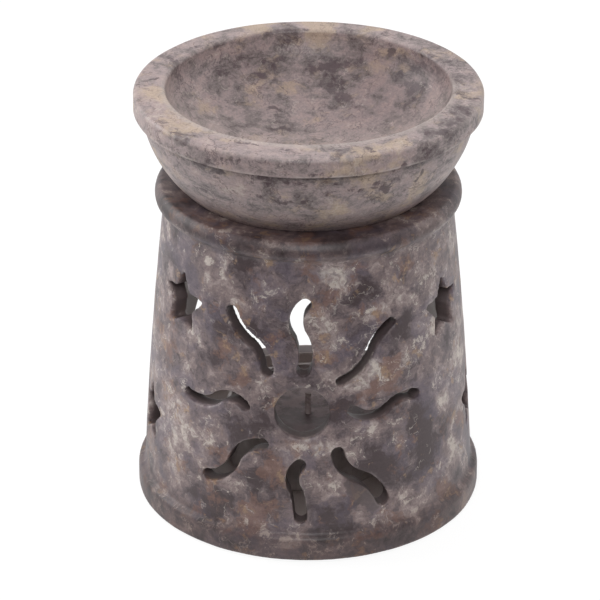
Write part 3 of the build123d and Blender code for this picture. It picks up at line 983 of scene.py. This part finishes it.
class BURNER_OT_base(bpy.types.Operator):
    """Turns, hollows and pierces the stone base"""

    bl_idname = "burner.base"
    bl_label = "Burner base"

    def execute(self, context):
        sizes = context.scene.burner_base
        base = turned("soapstone_base", self.outline(sizes), BASE_TURNING_STEPS)
        self.carve(base, self.cutters(sizes))
        modified(base, "REMESH", mode="VOXEL", voxel_size=sizes.carve_grain, use_smooth_shade=True)
        modified(base, "SMOOTH", factor=0.5, iterations=sizes.worn_rounds)
        hand_finished(base, sizes.unevenness, sizes.wave_size)
        triangles = sum(len(face.vertices) - 2 for face in base.data.polygons)
        modified(base, "DECIMATE", ratio=min(1, sizes.most_triangles / triangles))
        finished(base, base_stone(context.scene.burner_base_stone), "base_stone", "base", "burner_base")
        return {"FINISHED"}

    def wall_radius(self, sizes, height):
        """Outer radius of the wall at a height between its shoulder and its neck."""
        shoulder = sizes.foot_band + sizes.shoulder_rise
        part = (height - shoulder) / (sizes.height - sizes.neck_drop - shoulder)
        straight = sizes.wall_foot_radius + (sizes.neck_radius - sizes.wall_foot_radius) * part
        return straight + sizes.wall_bulge * 4 * part * (1 - part)

    def outline(self, sizes):
        """Half section of the base, from the middle of its underside round to the chamber's floor."""
        shoulder = sizes.foot_band + sizes.shoulder_rise
        neck = sizes.height - sizes.neck_drop
        ring_under = sizes.height - sizes.ring_thickness
        corner = sizes.floor + sizes.corner_round
        chamber_foot = self.wall_radius(sizes, corner) - sizes.wall
        chamber_top = self.wall_radius(sizes, ring_under) - sizes.wall
        drawn = Outline(0, 0, BASE_STEP)
        drawn.line(sizes.foot_radius - sizes.foot_round, 0)
        drawn.swing(sizes.foot_radius, sizes.foot_round, (1, 0))
        drawn.line(sizes.foot_radius, sizes.foot_band)
        drawn.swing(sizes.wall_foot_radius, shoulder, (0, 1))
        drawn.arc(sizes.neck_radius, neck, sizes.wall_bulge)
        drawn.land(sizes.lip_radius, sizes.height - sizes.lip_drop, (0, 1))
        drawn.swing(sizes.ring_edge_radius, sizes.height, (0, 1))
        drawn.line(sizes.ring_opening, sizes.height)
        drawn.line(sizes.ring_opening, ring_under)
        drawn.line(chamber_top, ring_under)
        drawn.arc(chamber_foot, corner, -sizes.wall_bulge)
        drawn.swing(chamber_foot - sizes.corner_round, sizes.floor, (0, -1))
        drawn.line(0, sizes.floor)
        return drawn

    def cutter(self, name, points, angle, height, sizes, depth):
        """Prism of an outline that goes straight in through the wall, at an angle round from the sun."""
        overrun = sizes.wall / 2
        outwards = Vector((sin(angle), -cos(angle), 0))
        upwards = Vector((0, 0, 1))
        start = outwards * (self.wall_radius(sizes, height) + overrun) + upwards * height
        piece = loop_of(name, points, "NGON")
        bpy.ops.object.mode_set(mode="EDIT")
        bpy.ops.mesh.select_all(action="SELECT")
        bpy.ops.mesh.extrude_region_move(TRANSFORM_OT_translate={"value": (0, depth, 0)})
        sealed()
        columns = Matrix((outwards.cross(upwards) * -1, outwards * -1, upwards)).transposed()
        piece.matrix_world = Matrix.Translation(start) @ columns.to_4x4()
        bpy.ops.object.transform_apply(location=True, rotation=True, scale=True)
        return piece

    def cutters(self, sizes):
        """One cutter for each opening in the wall."""
        hole = Outline(sizes.sun_hole, 0, CUT_STEP).arc(-sizes.sun_hole, 0, -sizes.sun_hole)
        hole.arc(sizes.sun_hole, 0, -sizes.sun_hole).points.pop()
        depth = sizes.wall * CUTTER_WALLS
        made = [self.cutter("sun_hole", hole.points, 0, sizes.sun_height, sizes, depth)]
        for ray, turn in enumerate(sizes.ray_turns):
            start = sizes.ray_start * sizes.ray_starts[ray]
            end = sizes.ray_end * sizes.ray_ends[ray]
            middle = (start + end) / 2
            angle = middle * sin(turn) / self.wall_radius(sizes, sizes.sun_height)
            height = sizes.sun_height + middle * cos(turn)
            points = self.ray_points(sizes, ray, (end - start) / 2)
            made.append(self.cutter("ray", points, angle, height, sizes, depth))
        for angle, height in zip(sizes.star_angles, sizes.star_heights):
            made.append(self.cutter("star", self.star_points(sizes), angle, height, sizes, depth))
        door = Outline(-sizes.door_half_width, sizes.door_sill, sizes.door_half_width * 2)
        door.line(sizes.door_half_width, sizes.door_sill)
        door.line(sizes.door_half_width, sizes.door_spring)
        door.step = sizes.carve_grain
        door.arc(-sizes.door_half_width, sizes.door_spring, sizes.door_half_width)
        middle = (sizes.door_sill + sizes.door_spring) / 2
        points = [point - Vector((0, middle)) for point in door.points]
        made.append(self.cutter("doorway", points, pi, middle, sizes, sizes.foot_radius))
        return made

    def ray_points(self, sizes, ray, half):
        """A slot with round ends along two arcs, an S, turned clockwise from upright."""
        turn = sizes.ray_turns[ray] + sizes.ray_leans[ray]
        side = sizes.ray_width * sizes.ray_widths[ray] / 2
        bend = sizes.ray_sway * sizes.ray_bends[ray]
        inner_sway = sizes.ray_sway * sizes.ray_inner_sways[ray]
        outer_sway = sizes.ray_sway * sizes.ray_outer_sways[ray]
        spine = Outline(0, -half, SPINE_STEP).arc(bend, 0, inner_sway).arc(0, half, -outer_sway).points
        aheads = [spine[min(i + 1, len(spine) - 1)] - spine[max(i - 1, 0)] for i in range(len(spine))]
        rights = [Vector((ahead.y, -ahead.x)).normalized() * side for ahead in aheads]
        slot = Outline(0, 0, CUT_STEP)
        slot.points = [point + right for point, right in zip(spine, rights)]
        slot.arc(*(spine[-1] - rights[-1]), side)
        slot.points += [point - right for point, right in zip(spine, rights)][-2::-1]
        slot.arc(*(spine[0] + rights[0]), side).points.pop()
        placed = []
        for point in slot.points:
            across = point.x * cos(turn) + point.y * sin(turn)
            up = point.y * cos(turn) - point.x * sin(turn)
            placed.append(Vector((across, up)))
        return placed

    def star_points(self, sizes):
        """Tips and notches of a five-pointed star with a tip upwards."""
        points = []
        for corner in range(2 * STAR_TIPS):
            reach = sizes.star_tip * (sizes.star_notch if corner % 2 else 1)
            turn = corner * pi / STAR_TIPS
            points.append(Vector((sin(turn), cos(turn))) * reach)
        return points

    def carve(self, base, cutters):
        """Takes the cutters out of the base."""
        bpy.ops.object.select_all(action="DESELECT")
        for cutter in cutters:
            cutter.select_set(True)
        bpy.context.view_layer.objects.active = cutters[0]
        bpy.ops.object.join()
        joined = bpy.context.object
        modified(base, "BOOLEAN", operation="DIFFERENCE", solver="EXACT", object=joined)
        bpy.data.objects.remove(joined)


class BURNER_OT_bowl(bpy.types.Operator):
    """Turns the loose stone bowl"""

    bl_idname = "burner.bowl"
    bl_label = "Oil bowl"

    def execute(self, context):
        sizes = context.scene.burner_bowl
        lip_foot = sizes.top - sizes.lip_height
        dish_radius = sizes.lip_radius - sizes.rim_width
        drawn = Outline(0, sizes.spigot_foot, sizes.outline_step)
        drawn.lines(
            (sizes.spigot_radius - sizes.spigot_chamfer, sizes.spigot_foot),
            (sizes.spigot_radius, sizes.spigot_foot + sizes.spigot_chamfer),
            (sizes.spigot_radius, sizes.seat_height),
            (sizes.seat_radius, sizes.seat_height),
        )
        drawn.arc(sizes.body_radius, lip_foot, sizes.body_bulge)
        drawn.line(sizes.lip_radius, lip_foot + sizes.lip_step)
        drawn.line(sizes.lip_radius, sizes.top - sizes.rim_round)
        drawn.swing(sizes.lip_radius - sizes.rim_round, sizes.top, (0, 1))
        drawn.line(dish_radius + sizes.inner_round, sizes.top)
        drawn.swing(dish_radius, sizes.top - sizes.inner_round, (-1, 0))
        drawn.dish(sizes.dish_depth - sizes.inner_round)
        bowl = turned("soapstone_bowl", drawn, sizes.turning_steps)
        self.set_back(bowl, sizes, dish_radius + sizes.inner_round)
        hand_finished(bowl, sizes.unevenness, sizes.wave_size)
        finished(bowl, bowl_stone(context.scene.burner_bowl_stone), "bowl_stone", "bowl", "oil_bowl")
        return {"FINISHED"}

    def set_back(self, bowl, sizes, mouth):
        """Moves the dish behind the axis, and the flat rim less and less towards its outer edge."""
        edge = sizes.lip_radius - sizes.rim_round
        corners = bowl.data.vertices
        inner = [c for c in corners if c.normal.z > FACING_UP or c.normal.to_2d().dot(c.co.to_2d()) < 0]
        for corner in inner:
            part = (edge - corner.co.to_2d().length) / (edge - mouth)
            corner.co.y += sizes.dish_offset * max(0, min(1, part))


class BURNER_OT_cup(bpy.types.Operator):
    """Draws the tealight's thin metal cup, with a rolled rim and a ring in its floor"""

    bl_idname = "burner.cup"
    bl_label = "Tealight cup"

    def execute(self, context):
        sizes = context.scene.burner_tealight
        low, high = sizes.cup_floor, sizes.cup_rim
        wall = sizes.cup_wall
        outer, inner = sizes.cup_radius, sizes.cup_radius - wall
        bead = sizes.bead_radius
        rib_half = sizes.rib_rise * 2
        drawn = Outline(0, low, sizes.outline_step)
        drawn.line(sizes.rib_radius - rib_half, low)
        drawn.arc(sizes.rib_radius + rib_half, low, -sizes.rib_rise)
        drawn.line(outer - sizes.cup_edge, low)
        drawn.swing(outer, low + sizes.cup_edge, (1, 0))
        drawn.line(outer, high - 2 * bead)
        drawn.arc(outer, high, bead)
        drawn.line(inner, high - wall / 2)
        drawn.line(inner, low + sizes.cup_edge + wall)
        drawn.swing(inner - sizes.cup_edge, low + wall, (0, -1))
        drawn.line(0, low + wall)
        cup = turned("tealight_foil_cup", drawn, sizes.turning_steps)
        finished(cup, drawn_foil(context.scene.burner_tealight_look), "cup_metal", "tealight", "tealight_cup")
        return {"FINISHED"}


class BURNER_OT_wax(bpy.types.Operator):
    """Casts the wax round the wick and its foot, with a raised edge and a dimple"""

    bl_idname = "burner.wax"
    bl_label = "Tealight wax"

    def execute(self, context):
        sizes = context.scene.burner_tealight
        level = sizes.wax_level - sizes.wax_skirt
        drawn = Outline(sizes.wick_bore, sizes.wax_level - sizes.dimple_depth, sizes.outline_step)
        drawn.lines(
            (sizes.wick_bore, sizes.neck_top),
            (sizes.neck_bore, sizes.neck_top),
            (sizes.neck_bore, sizes.plate_top),
            (sizes.plate_bore, sizes.plate_top),
            (sizes.plate_bore, sizes.wax_floor),
            (sizes.wax_radius - sizes.cup_edge, sizes.wax_floor),
            (sizes.wax_radius, sizes.wax_floor + sizes.cup_edge),
            (sizes.wax_radius, sizes.wax_level),
        )
        drawn.land(sizes.wax_radius - sizes.wax_edge, level, (-1, 0))
        drawn.line(sizes.dimple_radius, level)
        drawn.arc(sizes.wick_bore, sizes.wax_level - sizes.dimple_depth, -sizes.dimple_sag)
        drawn.points.pop()
        wax = turned("tealight_scented_wax", drawn, sizes.turning_steps)
        finished(wax, scented_wax(context.scene.burner_tealight_look), "wax", "tealight", "tealight_wax")
        return {"FINISHED"}


class BURNER_OT_wick(bpy.types.Operator):
    """Twists the cotton wick from its strands"""

    bl_idname = "burner.wick"
    bl_label = "Tealight wick"

    def execute(self, context):
        sizes = context.scene.burner_tealight
        corners = CORNERS_PER_STRAND * sizes.wick_strands
        points = []
        for corner in range(corners):
            turn = FULL_TURN * corner / corners
            lobe = 1 - sizes.wick_groove * (1 - cos(sizes.wick_strands * turn)) / 2
            points.append(Vector((cos(turn), sin(turn))) * sizes.wick_radius * lobe)
        wick = loop_of("twisted_wick", points, "NGON")
        for corner in wick.data.vertices:
            corner.co = (corner.co.x, corner.co.z, sizes.wick_foot)
        bpy.ops.object.mode_set(mode="EDIT")
        bpy.ops.mesh.select_all(action="SELECT")
        rise = (sizes.wick_top - sizes.wick_foot) / WICK_RINGS
        for ring in range(WICK_RINGS):
            bpy.ops.mesh.extrude_region_move(TRANSFORM_OT_translate={"value": (0, 0, rise)})
            bpy.ops.transform.rotate(
                value=FULL_TURN * sizes.wick_turns / WICK_RINGS,
                orient_axis="Z",
                center_override=(0, 0, sizes.wick_foot + rise * (ring + 1)),
            )
        sealed()
        cotton = waxed_cotton(context.scene.burner_tealight_look)
        finished(wick, cotton, "wick_cotton", "tealight", "tealight_wick")
        return {"FINISHED"}


class BURNER_OT_sustainer(bpy.types.Operator):
    """Gives the wick's metal foot its tinned finish"""

    bl_idname = "burner.sustainer"
    bl_label = "Wick sustainer"

    def execute(self, context):
        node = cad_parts["wick_sustainer"]
        node.data.materials.clear()
        node.data.materials.append(tinned_plate(context.scene.burner_tealight_look))
        return {"FINISHED"}


class BURNER_OT_stage(bpy.types.Operator):
    """Sets up the pale floor, the soft light and the camera"""

    bl_idname = "burner.stage"
    bl_label = "Stage"

    def execute(self, context):
        settings = context.scene.burner_stage
        bpy.ops.object.select_all(action="DESELECT")
        bpy.ops.mesh.primitive_plane_add(size=settings.floor_size, location=(0, 0, -settings.floor_gap))
        floor = context.object
        floor.name = "floor"
        paper, mix = new_finish("white_paper")
        lit = mix.band(mix.along(mix.place(), "Y"), *FLOOR_LIT)
        mix.surface(
            Base_Color=PAPER_GREY,
            Roughness=0.9,
            Emission_Color=mix.blend(lit, BLACK, WHITE),
            Emission_Strength=settings.floor_glow,
        )
        floor.data.materials.append(paper)
        self.room(context, settings)
        for side, place, width in PANELS:
            bpy.ops.object.light_add(type="AREA", location=place)
            panel = context.object
            panel.name = side + "_panel"
            panel.rotation_euler = (PANEL_AIM - Vector(place)).to_track_quat("-Z", "Y").to_euler()
            panel.data.size = width
            panel.data.energy = getattr(settings, side)
        self.camera(context, settings)
        return {"FINISHED"}

    def room(self, context, settings):
        """White light all round, brightest behind the burner and less from above, and plain colours."""
        world = bpy.data.worlds.new("studio")
        world.use_nodes = True
        context.scene.world = world
        mix = Recipe(world.node_tree)
        towards = mix.node("ShaderNodeTexCoord", {}, {}, "Generated")
        behind = mix.band(mix.along(towards, "Y"), *ROOM_TO_BACK)
        above = mix.band(mix.along(towards, "Z"), *ROOM_TO_TOP)
        strength = settings.room_front + (settings.room_back - settings.room_front) * behind
        strength = strength * (1 - settings.room_dip * above)
        light = mix.node("ShaderNodeBackground", {}, {"Color": WHITE, "Strength": strength})
        mix.node("ShaderNodeOutputWorld", {}, {"Surface": light})
        context.scene.view_settings.view_transform = "Standard"

    def camera(self, context, settings):
        """The photograph's viewpoint: a long lens, in front and above."""
        side = settings.camera_side
        forwards = Vector((-sin(side), cos(side), 0))
        right = Vector((cos(side), sin(side), 0))
        place = -forwards * settings.camera_reach - right * settings.camera_slide
        place.z = settings.camera_height
        turn = (pi / 2 - settings.camera_pitch, 0, side)
        bpy.ops.object.camera_add(location=place, rotation=turn)
        camera = context.object
        camera.data.lens = settings.lens
        camera.data.clip_start = NEAREST_SEEN
        context.scene.camera = camera


class BURNER_PT_panel(bpy.types.Panel):
    """Lists the burner's pieces in the order that they are made"""

    bl_idname = "BURNER_PT_panel"
    bl_label = "Oil burner"
    bl_space_type = "VIEW_3D"
    bl_region_type = "UI"
    bl_category = "Oil burner"

    def draw(self, context):
        for operator in OPERATORS:
            self.layout.operator(operator.bl_idname)
        for group in GROUPS:
            settings = getattr(context.scene, group)
            box = self.layout.box()
            for key in settings.__annotations__:
                box.prop(settings, key)


GROUPS = {
    "burner_base": BurnerBaseSizes,
    "burner_bowl": OilBowlSizes,
    "burner_tealight": TealightSizes,
    "burner_base_stone": BaseStoneLook,
    "burner_bowl_stone": BowlStoneLook,
    "burner_tealight_look": TealightLook,
    "burner_stage": StageSettings,
}
OPERATORS = (
    BURNER_OT_base,
    BURNER_OT_bowl,
    BURNER_OT_cup,
    BURNER_OT_wax,
    BURNER_OT_wick,
    BURNER_OT_sustainer,
    BURNER_OT_stage,
)


def register():
    """Makes the groups, operators and panel known, and hangs the groups on the scene."""
    for group, kind in GROUPS.items():
        bpy.utils.register_class(kind)
        setattr(bpy.types.Scene, group, PointerProperty(type=kind))
    for kind in (*OPERATORS, BURNER_PT_panel):
        bpy.utils.register_class(kind)


def unregister():
    """Takes all of it away again."""
    for kind in (BURNER_PT_panel, *reversed(OPERATORS)):
        bpy.utils.unregister_class(kind)
    for group, kind in reversed(GROUPS.items()):
        delattr(bpy.types.Scene, group)
        bpy.utils.unregister_class(kind)


def main():
    """Makes the burner and its stage."""
    register()
    bpy.ops.burner.base()
    bpy.ops.burner.bowl()
    bpy.ops.burner.cup()
    bpy.ops.burner.wax()
    bpy.ops.burner.wick()
    bpy.ops.burner.sustainer()
    bpy.ops.burner.stage()


if __name__ == "__main__":
    main()
